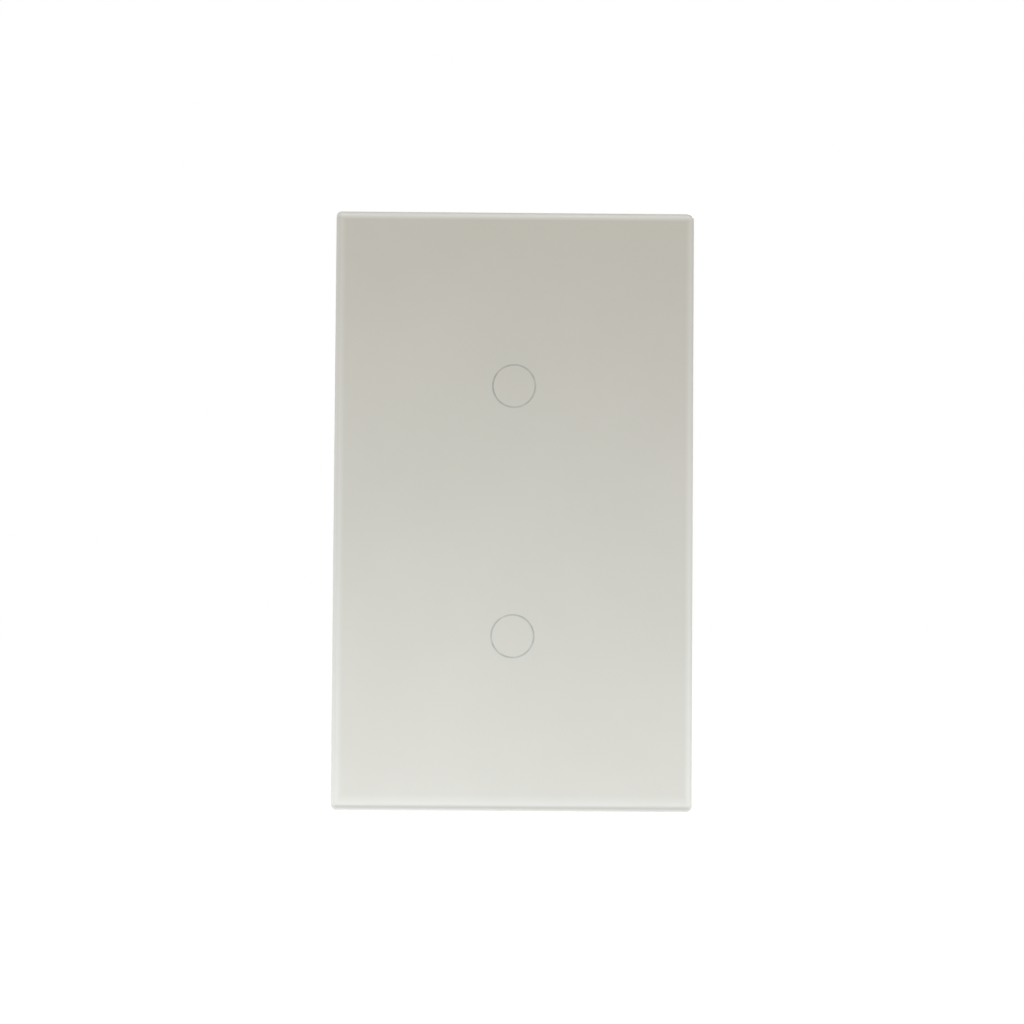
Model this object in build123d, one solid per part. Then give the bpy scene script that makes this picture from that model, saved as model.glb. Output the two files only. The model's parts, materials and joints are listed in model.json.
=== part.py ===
"""Two-gang touch light switch with a glass front, for a rectangular wall box.

X runs to the right as a person faces the wall, Z is up and Y runs into the wall.
The wall's surface is the plane y = 0, and the origin is its point behind the middle of the panel.
From the front the layers are glass, printed film, tape, panel frame, front chassis, housing flange
and steel bracket. Behind the wall's surface are the touch board, the power board and the housing.
All sizes are in millimetres.
"""

import os

from build123d import *

# Clearances that many pieces share
cut_overrun = 1.0
slip_gap = 0.05
part_gap = 0.5

# Glass panel
panel_width = 72.0
panel_height = 120.0
glass_thickness = 4.0
glass_corner_radius = 1.1
glass_edge_round = 0.7
glass_back_chamfer = 0.3

# Touch places, marked by a thin clear ring in the printed film
touch_spacing = 50.4
touch_ring_radius = 4.28
touch_ring_line = 0.34
gang_signs = {"upper": 1, "lower": -1}

# Printed film and tape behind the glass
film_thickness = 0.2
film_inset = 0.3
tape_thickness = 0.3
tape_inset = 1.0
tape_width = 6.0

# Panel frame, the moulding that the glass is stuck to
frame_inset = 0.5
frame_flange_thickness = 1.5
frame_skirt_wall = 1.6
frame_inner_radius = 1.5
frame_end_width = 9.6
frame_seat_overlap = 2.0
frame_rib_height = 1.0
frame_rib_width = 1.2
seat_gap = 0.3
wall_gap = 0.4
pry_notch_width = 7.0
pry_notch_depth = 1.2
pry_notch_spacing = 36.0

# Spring clips that hold the panel on the chassis
clip_thickness = 0.4
clip_width = 8.0
clip_spacing = 38.0
clip_slot_depth = 1.1
clip_bump = 0.8
clip_gap = 0.15

# Steel mounting bracket
bracket_thickness = 1.0
bracket_rail_width = 3.0
bracket_window_gap = 0.3
bracket_corner_radius = 2.5
bracket_end_margin = 2.4
mount_slot_radius = 2.0
mount_slot_length = 6.0
ear_reach = 8.9

# Front chassis
chassis_thickness = 1.4
chassis_ledge = 1.2
chassis_corner_radius = 2.0
chassis_pocket_depth = 0.5
chassis_pocket_margin = 9.0
chassis_collar_height = 0.6
chassis_collar_wall = 1.0

# Rear housing
housing_wall = 1.8
housing_corner_radius = 2.0
housing_back_round = 1.0
flange_thickness = 1.4
flange_lip_side = 1.8
flange_lip_end = 4.3
rear_clearance = 0.6
label_recess_depth = 0.3
label_recess_margin = 5.0
access_hole_radius = 2.3

# Screws through chassis, flange and bracket
case_screw_radius = 1.2
case_screw_head_radius = 2.3
case_screw_head_height = 1.4
case_screw_reach = 2.3
case_screw_inset = 3.0
screw_hole_gap = 0.3
screw_tip_gap = 0.1
recess_width = 0.6
recess_depth = 0.7

# Touch board with its springs, light guides and lights
touch_board_standoff = 1.8
touch_board_thickness = 1.2
board_side_gap = 0.4
board_corner_radius = 1.0
standoff_radius = 2.2
standoff_inset = 3.2
board_screw_radius = 0.9
board_screw_head_radius = 1.8
board_screw_head_height = 1.1
board_screw_bite = 2.4
spring_radius = 2.6
spring_wire_radius = 0.2
spring_turns = 4.5
guide_radius = 5.2
guide_bore_radius = 3.5
guide_collar_radius = 5.7
guide_collar_thickness = 0.7
guide_end_gap = 0.1
led_length = 1.6
led_width = 0.9
led_height = 0.7
chip_length = 9.9
chip_width = 3.9
chip_height = 1.6
chip_foot_reach = 1.0
chip_foot_width = 0.4
chip_foot_thickness = 0.25
chip_foot_pitch = 1.27
chip_foot_count = 7
chip_drop = 12.0
chip_stand_off = 0.15
passive_length = 1.6
passive_width = 0.8
passive_height = 0.5
passive_pitch = 2.4
passive_count = 5

# Board to board connector
header_pitch = 2.0
header_count = 6
header_width = 2.0
header_base_height = 2.0
header_pin_side = 0.5
header_tail = 1.0
socket_height = 3.9
socket_width = 2.6
mate_gap = 0.1

# Power board and its posts
power_board_thickness = 1.6
post_radius = 2.2
post_gap = 0.6
lead_radius = 0.35
lead_gap = 0.1
lead_tail = 1.2

# Terminal block: rising cages, captive screws and contact bars
pole_count = 3
pole_pitch = 10.0
block_side_wall = 1.2
block_end_wall = 1.0
block_floor = 1.0
block_lip = 0.8
block_end_gap = 0.4
cage_gap = 0.2
cage_wall = 1.0
cage_inner_width = 4.6
cage_length = 6.0
cage_head_thickness = 2.0
wire_gap = 4.4
clamp_travel = 2.5
bar_thickness = 0.8
bar_width = 4.0
bar_inset = 0.3
bar_tip_gap = 0.05
terminal_screw_radius = 1.5
terminal_bore_gap = 0.04
terminal_head_radius = 2.4
terminal_head_height = 2.0
terminal_head_gap = 0.15
terminal_slot_width = 0.8
terminal_slot_depth = 1.0
entry_funnel = 0.7

# Relays, one for each gang
relay_gap = 1.6
relay_case_wall = 0.8
relay_case_round = 0.5
relay_base_rise = 0.3
relay_base_thickness = 1.2
bobbin_size = 10.4
bobbin_flange = 0.8
bobbin_tube_wall = 0.6
winding_length = 6.8
winding_depth = 1.9
relay_side_bay = 1.7
relay_contact_bay = 5.0
relay_spring_bay = 0.6
yoke_thickness = 1.2
yoke_width = 9.0
yoke_gap = 0.2
core_radius = 2.0
pole_radius = 3.0
pole_thickness = 0.6
pole_gap = 0.6
closed_gap = 0.05
hinge_gap = 0.1
armature_thickness = 1.0
leaf_thickness = 0.25
leaf_width = 4.0
relay_head_room = 0.7
contact_radius = 1.2
contact_height = 0.9
contact_arm_thickness = 0.8
contact_arm_width = 3.6
return_leaf_reach = 6.0

# Supply parts on the power board
row_gap = 1.0
core_width = 13.0
core_depth = 6.0
core_height = 12.4
core_leg = 3.0
core_window_width = 2.4
core_window_height = 7.6
bobbin_base_height = 2.2
bobbin_base_length = 14.0
winding_margin = 0.3
transformer_pin_count = 4
transformer_pin_pitch = 3.0
bulk_radius = 4.0
bulk_height = 12.0
bulk_groove = 0.4
bulk_rim_round = 0.5
choke_radius = 3.2
choke_flange = 1.2
choke_height = 9.0
choke_neck = 0.8
varistor_radius = 3.8
varistor_thickness = 3.6
varistor_rise = 1.6
varistor_edge_round = 1.2
film_cap_length = 15.0
film_cap_width = 6.0
film_cap_height = 12.0
film_cap_round = 0.5
rectifier_length = 8.4
rectifier_width = 6.4
rectifier_height = 3.2
rectifier_notch_radius = 0.8
fuse_width = 4.0
fuse_length = 8.0
fuse_height = 7.6
fuse_round = 0.5
component_gap = 1.3
component_rise = 0.3

# Depths of the layers in front of the wall, from the wall outwards
bracket_front = -bracket_thickness
flange_front = bracket_front - flange_thickness
chassis_back = flange_front
chassis_front = chassis_back - chassis_thickness
frame_back = chassis_front - seat_gap
frame_front = frame_back - frame_flange_thickness
film_back = frame_front - tape_thickness
glass_back = film_back - film_thickness
glass_front = glass_back - glass_thickness

# Depths of the boards, from the chassis inwards
touch_front = chassis_back + touch_board_standoff
touch_back = touch_front + touch_board_thickness
header_front = touch_back + socket_height + mate_gap
power_front = header_front + header_base_height
power_back = power_front + power_board_thickness

# Depths inside a terminal, from the power board inwards
cage_front = power_back + block_floor + cage_gap
cage_seat = cage_front + cage_wall
bar_front = cage_seat + wire_gap
bar_back = bar_front + bar_thickness
cage_head_front = bar_back + cage_gap
cage_back = cage_head_front + cage_head_thickness
screw_head_front = cage_back + clamp_travel + cage_gap
screw_head_back = screw_head_front + terminal_head_height
block_back = screw_head_back + terminal_head_gap + block_lip
cage_width = cage_inner_width + 2 * cage_wall
chamber_width = cage_width + 2 * cage_gap
chamber_length = cage_length + 2 * cage_gap
block_width = (pole_count - 1) * pole_pitch + chamber_width + 2 * block_side_wall
block_length = chamber_length + 2 * block_end_wall

# Depths inside a relay, from the power board inwards
relay_base_front = power_back + relay_base_rise
relay_base_back = relay_base_front + relay_base_thickness
yoke_foot_back = relay_base_back + yoke_thickness
bobbin_front = yoke_foot_back + slip_gap
bobbin_back = bobbin_front + 2 * bobbin_flange + winding_length
pole_front = bobbin_back + slip_gap
pole_back = pole_front + pole_thickness
armature_front = pole_back + pole_gap
armature_back = armature_front + armature_thickness
leaf_back = armature_back + leaf_thickness
yoke_back = armature_front - hinge_gap
relay_inner_back = leaf_back + relay_head_room
relay_back = relay_inner_back + relay_case_wall
relay_width = bobbin_size + 2 * relay_side_bay + 2 * relay_case_wall
relay_inner_length = (
    relay_contact_bay + bobbin_size + yoke_gap + yoke_thickness + relay_spring_bay
)
relay_length = relay_inner_length + 2 * relay_case_wall

# Places along a relay, measured up from the lower end of its case
coil_rise = relay_case_wall + relay_contact_bay + bobbin_size / 2
yoke_rise = coil_rise + bobbin_size / 2 + yoke_gap
hinge_rise = yoke_rise + yoke_thickness / 2
contact_rise = relay_case_wall + relay_contact_bay / 2
closing_angle = (pole_gap - closed_gap) / (hinge_rise - coil_rise + pole_radius)
contact_gap = (hinge_rise - contact_rise + contact_radius) * closing_angle + closed_gap

# Sizes of the boards and the housing, set by what they hold
post_bay = 2 * post_radius + 2 * post_gap
board_width = max(2 * relay_width + relay_gap + 2 * post_bay, block_width + 2 * post_gap)
supply_length = bobbin_base_length + 2 * choke_radius + fuse_length + 2 * row_gap
content_length = (
    block_end_gap + block_length + bar_thickness + 2 * part_gap + relay_length
    + header_width + supply_length + part_gap
)
guide_length = touch_spacing + 2 * guide_collar_radius + 2 * board_side_gap
inner_width = board_width + 2 * board_side_gap
inner_length = max(content_length, guide_length)
board_length = inner_length - 2 * board_side_gap
inner_back = max(block_back, relay_back, power_back + core_height) + rear_clearance
body_width = inner_width + 2 * housing_wall
body_length = inner_length + 2 * housing_wall
housing_back = inner_back + housing_wall
flange_width = body_width + 2 * flange_lip_side
flange_length = body_length + 2 * flange_lip_end
chassis_width = flange_width + 2 * chassis_ledge
mount_spacing = body_length + 2 * ear_reach
bracket_width = body_width + 2 * bracket_window_gap + 2 * bracket_rail_width
bracket_length = mount_spacing + mount_slot_length + 2 * bracket_end_margin
frame_width = panel_width - 2 * frame_inset
frame_height = panel_height - 2 * frame_inset
frame_window_width = chassis_width - 2 * frame_seat_overlap
frame_window_height = frame_height - 2 * frame_end_width

# Places on the power board, from its lower end upwards
inner_bottom = -inner_length / 2
block_bottom = inner_bottom + block_end_gap
block_top = block_bottom + block_length
cage_middle = block_bottom + block_length / 2
relay_bottom = block_top + bar_thickness + 2 * part_gap
relay_top = relay_bottom + relay_length
header_middle = relay_top + header_width / 2
transformer_middle = relay_top + header_width + bobbin_base_length / 2
middle_row = transformer_middle + bobbin_base_length / 2 + row_gap + choke_radius
top_row_middle = middle_row + choke_radius + row_gap + fuse_length / 2
supply_top = top_row_middle + fuse_length / 2
post_side = board_width / 2 - post_bay / 2
post_places = [
    (side * post_side, height)
    for side in (-1, 1)
    for height in (relay_bottom + relay_length / 2, top_row_middle)
]
pole_places = [
    (number - (pole_count - 1) / 2) * pole_pitch for number in range(pole_count)
]
relay_places = [
    -(relay_gap + relay_width) / 2,
    (relay_gap + relay_width) / 2,
]
case_screw_places = [
    (side * (body_width / 2 - case_screw_inset), end * (body_length / 2 + case_screw_reach))
    for side in (-1, 1)
    for end in (-1, 1)
]
standoff_places = [
    (side * (board_width / 2 - standoff_inset), end * (board_length / 2 - standoff_inset))
    for side in (-1, 1)
    for end in (-1, 1)
]


# Shapes that many pieces use

def facing_front(depth, x=0, z=0):
    """A sketch plane at this depth whose normal points out of the wall."""
    return Plane(origin=(x, depth, z), x_dir=(1, 0, 0), z_dir=(0, -1, 0))


def slab(width, height, front, back, x=0, z=0, radius=0):
    """A plate parallel to the wall, between two depths."""
    outline = RectangleRounded(width, height, radius) if radius else Rectangle(width, height)
    return extrude(facing_front(back, x, z) * outline, back - front)


def rod(radius, front, back, x=0, z=0):
    """A round bar square to the wall, between two depths."""
    return extrude(facing_front(back, x, z) * Circle(radius), back - front)


def solids_of(*shapes):
    """One node that keeps its solids apart."""
    return Compound(children=[solid for shape in shapes for solid in shape.solids()])


def corner_inside(inset):
    """The corner radius of an outline that lies this far inside the glass's."""
    return max(glass_corner_radius - inset, 0)


def edges_at(shape, depth):
    """The edges of a shape that lie at one depth."""
    return shape.edges().filter_by_position(Axis.Y, depth, depth)


def cross_recess(width, depth, reach, front, x, z, into):
    """A cross-shaped driver recess, cut from a screw's face in the direction into."""
    far = front + into * depth
    low = min(front - into * cut_overrun, far)
    high = max(front - into * cut_overrun, far)
    return slab(reach, width, low, high, x, z) + slab(width, reach, low, high, x, z)


# The panel, which snaps off

def glass_panel():
    glass = slab(
        panel_width, panel_height, glass_front, glass_back, radius=glass_corner_radius
    )
    glass = fillet(edges_at(glass, glass_front), glass_edge_round)
    return chamfer(edges_at(glass, glass_back), glass_back_chamfer)


def backing_film():
    film = slab(
        panel_width - 2 * film_inset,
        panel_height - 2 * film_inset,
        glass_back,
        film_back,
        radius=corner_inside(film_inset),
    )
    outer = touch_ring_radius + touch_ring_line / 2
    inner = touch_ring_radius - touch_ring_line / 2
    for sign in gang_signs.values():
        height = sign * touch_spacing / 2
        ring = rod(outer, glass_back, film_back, z=height)
        ring -= rod(inner, glass_back, film_back, z=height)
        film -= ring
    return film


def adhesive_tape():
    tape = slab(
        frame_width - 2 * tape_inset,
        frame_height - 2 * tape_inset,
        film_back,
        frame_front,
        radius=corner_inside(frame_inset + tape_inset),
    )
    return tape - slab(
        frame_width - 2 * tape_inset - 2 * tape_width,
        frame_height - 2 * tape_inset - 2 * tape_width,
        film_back,
        frame_front,
    )


def clip_places():
    """The side and height of each spring clip."""
    return [(side, end * clip_spacing / 2) for side in (-1, 1) for end in (-1, 1)]


def panel_frame():
    corner_radius = corner_inside(frame_inset)
    frame = slab(frame_width, frame_height, frame_front, -wall_gap, radius=corner_radius)
    frame -= slab(
        frame_width - 2 * frame_skirt_wall,
        frame_height - 2 * frame_skirt_wall,
        frame_back,
        cut_overrun,
        radius=frame_inner_radius,
    )
    frame -= slab(
        frame_window_width,
        frame_window_height,
        frame_front - cut_overrun,
        frame_back + cut_overrun,
        radius=frame_inner_radius,
    )
    frame += window_rib()
    for side in (-1, 1):
        frame -= slab(
            pry_notch_width,
            2 * frame_skirt_wall,
            -wall_gap - pry_notch_depth,
            cut_overrun,
            side * pry_notch_spacing / 2,
            -frame_height / 2,
        )
    slot_middle = chassis_width / 2 + clip_gap + clip_thickness / 2
    for side, height in clip_places():
        frame -= slab(
            clip_thickness + 2 * slip_gap,
            clip_width + 2 * slip_gap,
            frame_back - clip_slot_depth - slip_gap,
            frame_back + cut_overrun,
            side * slot_middle,
            height,
        )
    return frame


def window_rib():
    """Two low stiffening ribs along the ends of the frame's window."""
    ribs = None
    for end in (-1, 1):
        rib = slab(
            frame_window_width,
            frame_rib_width,
            frame_back - slip_gap,
            frame_back + frame_rib_height,
            z=end * (frame_window_height / 2 + frame_rib_width),
        )
        ribs = rib if ribs is None else ribs + rib
    return ribs


def panel_clips():
    """Four spring strips whose bent ends catch behind the chassis edge."""
    inner = chassis_width / 2 + clip_gap
    outer = inner + clip_thickness
    top = frame_back - clip_slot_depth
    bend = chassis_back + clip_gap
    tip = bracket_front - clip_gap
    middle = (bend + tip) / 2
    outline = make_face(
        Polyline(
            (inner, top),
            (inner, bend),
            (inner - clip_bump, middle),
            (inner, tip),
            (outer, tip),
            (outer - clip_bump, middle),
            (outer, bend),
            (outer, top),
            close=True,
        )
    )
    strip = extrude(Pos(0, 0, -clip_width / 2) * outline, clip_width)
    clips = []
    for side, height in clip_places():
        placed = strip if side > 0 else mirror(strip, about=Plane.YZ)
        clips.append(Pos(0, 0, height) * placed)
    return solids_of(*clips)


# What the panel snaps on to

def mounting_bracket():
    bracket = slab(
        bracket_width, bracket_length, bracket_front, 0, radius=bracket_corner_radius
    )
    bracket -= slab(
        body_width + 2 * bracket_window_gap,
        body_length + 2 * bracket_window_gap,
        bracket_front,
        0,
        radius=housing_corner_radius,
    )
    for end in (-1, 1):
        slot = facing_front(0, 0, end * mount_spacing / 2) * SlotOverall(
            mount_slot_length, 2 * mount_slot_radius, rotation=90
        )
        bracket -= extrude(slot, bracket_thickness)
    for x, z in case_screw_places:
        bracket -= rod(case_screw_radius + slip_gap, bracket_front, 0, x, z)
    return bracket


def front_chassis():
    chassis = slab(
        chassis_width, flange_length, chassis_front, chassis_back, radius=chassis_corner_radius
    )
    pocket_height = touch_spacing - 2 * (guide_radius + chassis_collar_wall + part_gap)
    chassis -= slab(
        chassis_width - 2 * chassis_pocket_margin,
        pocket_height - 2 * part_gap,
        chassis_front,
        chassis_front + chassis_pocket_depth,
        radius=chassis_corner_radius,
    )
    guide_hole = guide_radius + slip_gap
    for sign in gang_signs.values():
        height = sign * touch_spacing / 2
        chassis += rod(
            guide_hole + chassis_collar_wall,
            chassis_front - chassis_collar_height,
            chassis_back,
            z=height,
        )
        chassis -= rod(
            guide_hole, chassis_front - chassis_collar_height, chassis_back, z=height
        )
    for x, z in standoff_places:
        chassis += rod(standoff_radius, chassis_back, touch_front, x, z)
        chassis -= rod(
            board_screw_radius + slip_gap,
            touch_front - board_screw_bite,
            touch_front,
            x,
            z,
        )
    for x, z in case_screw_places:
        chassis -= rod(case_screw_radius + screw_hole_gap, chassis_front, chassis_back, x, z)
    return chassis


def light_guide(sign):
    """A milky tube that carries the lights' glow to the ring in the film."""
    height = sign * touch_spacing / 2
    front = film_back + guide_end_gap
    back = touch_front - led_height - guide_end_gap
    guide = rod(guide_radius, front, back, z=height)
    guide += rod(
        guide_collar_radius, chassis_back, chassis_back + guide_collar_thickness, z=height
    )
    return guide - rod(guide_bore_radius, front, back, z=height)


def touch_spring(sign):
    """A coil that joins the touch board to the back of the film."""
    height = sign * touch_spacing / 2
    start = touch_front - spring_wire_radius
    rise = start - (film_back + spring_wire_radius)
    path = Helix(
        pitch=rise / spring_turns,
        height=rise,
        radius=spring_radius,
        center=(0, start, height),
        direction=(0, -1, 0),
    )
    section = Plane(origin=path @ 0, z_dir=path % 0) * Circle(spring_wire_radius)
    return sweep(section, path=path, is_frenet=True)


def header_shape(width, front, back):
    """The plastic strip of the board connector, either half."""
    return slab(header_count * header_pitch, width, front, back, z=header_middle)


def header_columns():
    return [(number - (header_count - 1) / 2) * header_pitch for number in range(header_count)]


def touch_board():
    board = slab(
        board_width, board_length, touch_front, touch_back, radius=board_corner_radius
    )
    for x, z in standoff_places:
        board -= rod(board_screw_radius + screw_hole_gap, touch_front, touch_back, x, z)
    return board


def board_socket():
    socket = header_shape(socket_width, touch_back, touch_back + socket_height)
    side = header_pin_side + 2 * lead_gap
    for x in header_columns():
        socket -= slab(side, side, touch_back, touch_back + socket_height, x, header_middle)
    return socket


def header_pins():
    strip = header_shape(header_width, header_front, power_front)
    front = touch_back + mate_gap
    back = power_back + header_tail
    for x in header_columns():
        strip += slab(header_pin_side, header_pin_side, front, back, x, header_middle)
    return strip


def indicator_leds():
    """Two lights under each guide, one on each side."""
    return solids_of(*(
        slab(
            led_width,
            led_length,
            touch_front - led_height,
            touch_front,
            side * touch_ring_radius,
            sign * touch_spacing / 2,
        )
        for sign in gang_signs.values()
        for side in (-1, 1)
    ))


def touch_chip():
    """The touch controller with its two rows of feet."""
    front = touch_back + chip_stand_off
    back = front + chip_height
    chip = slab(chip_length, chip_width, front, back, z=-chip_drop)
    middle = (front + back) / 2
    for number in range(chip_foot_count):
        x = (number - (chip_foot_count - 1) / 2) * chip_foot_pitch
        for side in (-1, 1):
            edge = -chip_drop + side * chip_width / 2
            out = edge + side * chip_foot_reach
            shoulder = (edge + out) / 2
            chip += slab(
                chip_foot_width,
                chip_foot_reach / 2 + chip_foot_thickness,
                middle - chip_foot_thickness,
                middle,
                x,
                (edge + shoulder) / 2,
            )
            chip += slab(chip_foot_width, chip_foot_thickness, touch_back, middle, x, shoulder)
            chip += slab(
                chip_foot_width,
                chip_foot_reach / 2,
                touch_back,
                touch_back + chip_foot_thickness,
                x,
                (shoulder + out) / 2,
            )
    return chip


def touch_passives():
    """A row of small resistors and capacitors above the touch controller."""
    first = -(passive_count - 1) / 2
    height = -chip_drop + chip_width / 2 + chip_foot_reach + passive_pitch
    return solids_of(*(
        slab(
            passive_width,
            passive_length,
            touch_back,
            touch_back + passive_height,
            (first + number) * passive_pitch,
            height,
        )
        for number in range(passive_count)
    ))


# Screws

def pan_screw(radius, head_radius, head_height, head_face, tip, x, z):
    """A pan-head screw. head_face is where its head seats, and tip is the other end of its shank."""
    into = 1 if tip > head_face else -1
    crown = head_face - into * head_height
    low, high = min(crown, head_face), max(crown, head_face)
    screw = rod(head_radius, low, high, x, z)
    screw = fillet(edges_at(screw, crown), head_height / 2)
    screw += rod(radius, min(tip, head_face), max(tip, head_face), x, z)
    return screw - cross_recess(recess_width, recess_depth, head_radius, crown, x, z, into)


def case_screws():
    return solids_of(*(
        pan_screw(
            case_screw_radius,
            case_screw_head_radius,
            case_screw_head_height,
            chassis_front,
            -screw_tip_gap,
            x,
            z,
        )
        for x, z in case_screw_places
    ))


def touch_board_screws():
    tip = touch_front - board_screw_bite + screw_tip_gap
    return solids_of(*(
        pan_screw(
            board_screw_radius,
            board_screw_head_radius,
            board_screw_head_height,
            touch_back,
            tip,
            x,
            z,
        )
        for x, z in standoff_places
    ))


def power_board_screws():
    tip = power_back + 2 * board_screw_bite - screw_tip_gap
    return solids_of(*(
        pan_screw(
            board_screw_radius,
            board_screw_head_radius,
            board_screw_head_height,
            power_front,
            tip,
            x,
            z,
        )
        for x, z in post_places
    ))


# Rear housing

def entry_middle():
    """The depth at the middle of the wire entries."""
    return (cage_seat + bar_front) / 2


def wire_entry(bottom, top, x):
    """The square way that a wire takes into a terminal, between two heights."""
    return slab(
        cage_inner_width, top - bottom, cage_seat, bar_front, x, (top + bottom) / 2
    )


def entry_mouth(x):
    """The flared mouth of a wire entry in the housing's lower wall."""
    face = -body_length / 2
    wide = Rectangle(cage_inner_width + 2 * entry_funnel, wire_gap + 2 * entry_funnel)
    narrow = Rectangle(cage_inner_width, wire_gap)
    low = Plane(origin=(x, entry_middle(), face), z_dir=(0, 0, 1)) * wide
    high = Plane(origin=(x, entry_middle(), face + entry_funnel), z_dir=(0, 0, 1)) * narrow
    return loft([low, high])


def rear_housing():
    housing = slab(
        body_width, body_length, flange_front, housing_back, radius=housing_corner_radius
    )
    housing = fillet(edges_at(housing, housing_back), housing_back_round)
    housing += slab(
        flange_width, flange_length, flange_front, bracket_front, radius=chassis_corner_radius
    )
    housing -= slab(
        inner_width, inner_length, flange_front, inner_back, radius=board_corner_radius
    )
    for x, z in post_places:
        housing += rod(post_radius, power_back, inner_back, x, z)
        housing -= rod(
            board_screw_radius + slip_gap,
            power_back,
            power_back + 2 * board_screw_bite,
            x,
            z,
        )
    for x in pole_places:
        housing -= wire_entry(-body_length / 2 - cut_overrun, inner_bottom + cut_overrun, x)
        housing -= entry_mouth(x)
        housing -= rod(
            access_hole_radius, inner_back - cut_overrun, housing_back + cut_overrun, x, cage_middle
        )
    for x, z in case_screw_places:
        housing -= rod(case_screw_radius + screw_hole_gap, flange_front, bracket_front, x, z)
    return housing - label_recess()


def label_recess():
    """A shallow bare field on the housing's back, above the terminal screws."""
    bottom = cage_middle + access_hole_radius + label_recess_margin
    top = body_length / 2 - label_recess_margin
    return slab(
        body_width - 2 * label_recess_margin,
        top - bottom,
        housing_back - label_recess_depth,
        housing_back + cut_overrun,
        z=(top + bottom) / 2,
        radius=housing_corner_radius,
    )


# Terminals

def terminal_block():
    block = slab(block_width, block_length, power_back, block_back, z=cage_middle)
    for x in pole_places:
        block -= slab(
            chamber_width,
            chamber_length,
            power_back + block_floor,
            screw_head_front,
            x,
            cage_middle,
        )
        block -= rod(
            terminal_head_radius + terminal_head_gap,
            screw_head_front - cut_overrun,
            screw_head_back + terminal_head_gap,
            x,
            cage_middle,
        )
        block -= rod(
            terminal_screw_radius + screw_hole_gap,
            screw_head_back,
            block_back + cut_overrun,
            x,
            cage_middle,
        )
        block -= wire_entry(block_bottom - cut_overrun, block_bottom + block_end_wall, x)
        block -= slab(
            bar_width + 2 * slip_gap,
            block_end_wall + cut_overrun,
            bar_front - slip_gap,
            bar_back + slip_gap,
            x,
            block_top - (block_end_wall - cut_overrun) / 2,
        )
    return block


def terminal_screw(x):
    """A captive screw. It turns in place and draws its cage towards its head."""
    screw = rod(terminal_head_radius, screw_head_front, screw_head_back, x, cage_middle)
    screw += rod(terminal_screw_radius, bar_back + bar_tip_gap, screw_head_front, x, cage_middle)
    return screw - cross_recess(
        terminal_slot_width,
        terminal_slot_depth,
        2 * terminal_screw_radius,
        screw_head_back,
        x,
        cage_middle,
        -1,
    )


def terminal_cage(x):
    """A brass cage with a threaded head. It lifts the wire against the contact bar."""
    cage = slab(cage_width, cage_length, cage_front, cage_back, x, cage_middle)
    cage -= slab(cage_inner_width, cage_length, cage_seat, cage_head_front, x, cage_middle)
    return cage - rod(
        terminal_screw_radius + terminal_bore_gap, cage_head_front, cage_back, x, cage_middle
    )


def contact_bars():
    """One bar for each pole, bent down behind the block and soldered into the board."""
    start = block_bottom + block_end_wall + bar_inset
    leg_bottom = block_top + slip_gap
    end = leg_bottom + bar_thickness
    bars = []
    for x in pole_places:
        bar = slab(bar_width, end - start, bar_front, bar_back, x, (start + end) / 2)
        leg_middle = leg_bottom + bar_thickness / 2
        bar += slab(bar_width, bar_thickness, power_back + slip_gap, bar_back, x, leg_middle)
        bar += rod(lead_radius, power_front - lead_tail, bar_back, x, leg_middle)
        bars.append(bar)
    return solids_of(*bars)


def bar_leads():
    return [(x, block_top + slip_gap + bar_thickness / 2) for x in pole_places]


# Relays

def relay_case(x):
    middle = relay_bottom + relay_length / 2
    case = slab(relay_width, relay_length, relay_base_front, relay_back, x, middle)
    case = fillet(edges_at(case, relay_back) + case.edges().filter_by(Axis.Y), relay_case_round)
    return case - slab(
        relay_width - 2 * relay_case_wall,
        relay_inner_length,
        relay_base_front,
        relay_inner_back,
        x,
        middle,
    )


def coil_leads(x):
    """Places of the coil's two pins, beside the yoke."""
    side = bobbin_size / 2
    return [(x + sign * side, relay_bottom + coil_rise) for sign in (-1, 1)]


def arm_middle():
    """The height of the fixed contact's arm."""
    return relay_bottom + relay_case_wall + contact_arm_thickness


def yoke_lead(x):
    return (x, relay_bottom + yoke_rise + yoke_thickness / 2)


def relay_base(x):
    """The plate that closes the case, pierced for the pins."""
    base = slab(
        relay_width - 2 * relay_case_wall - 2 * slip_gap,
        relay_inner_length - 2 * slip_gap,
        relay_base_front,
        relay_base_back,
        x,
        relay_bottom + relay_length / 2,
    )
    pins = [*coil_leads(x), (x, arm_middle()), yoke_lead(x)]
    for pin_x, pin_z in pins:
        base -= rod(lead_radius + lead_gap, relay_base_front, relay_base_back, pin_x, pin_z)
    return base


def relay_bobbin(x):
    height = relay_bottom + coil_rise
    bobbin = rod(core_radius + bobbin_tube_wall, bobbin_front, bobbin_back, x, height)
    bobbin += slab(bobbin_size, bobbin_size, bobbin_front, bobbin_front + bobbin_flange, x, height)
    bobbin += slab(bobbin_size, bobbin_size, bobbin_back - bobbin_flange, bobbin_back, x, height)
    bobbin -= rod(core_radius + slip_gap, bobbin_front, bobbin_back, x, height)
    for pin_x, pin_z in coil_leads(x):
        bobbin -= rod(
            lead_radius + slip_gap, bobbin_front, bobbin_front + bobbin_flange, pin_x, pin_z
        )
    return bobbin


def relay_winding(x):
    """The copper winding and the coil's two pins."""
    height = relay_bottom + coil_rise
    front = bobbin_front + bobbin_flange
    inner = core_radius + bobbin_tube_wall
    winding = rod(inner + winding_depth, front, front + winding_length, x, height)
    winding -= rod(inner + slip_gap, front, front + winding_length, x, height)
    pins = [
        rod(lead_radius, power_front - lead_tail, front, pin_x, pin_z)
        for pin_x, pin_z in coil_leads(x)
    ]
    return solids_of(winding, *pins)


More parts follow.
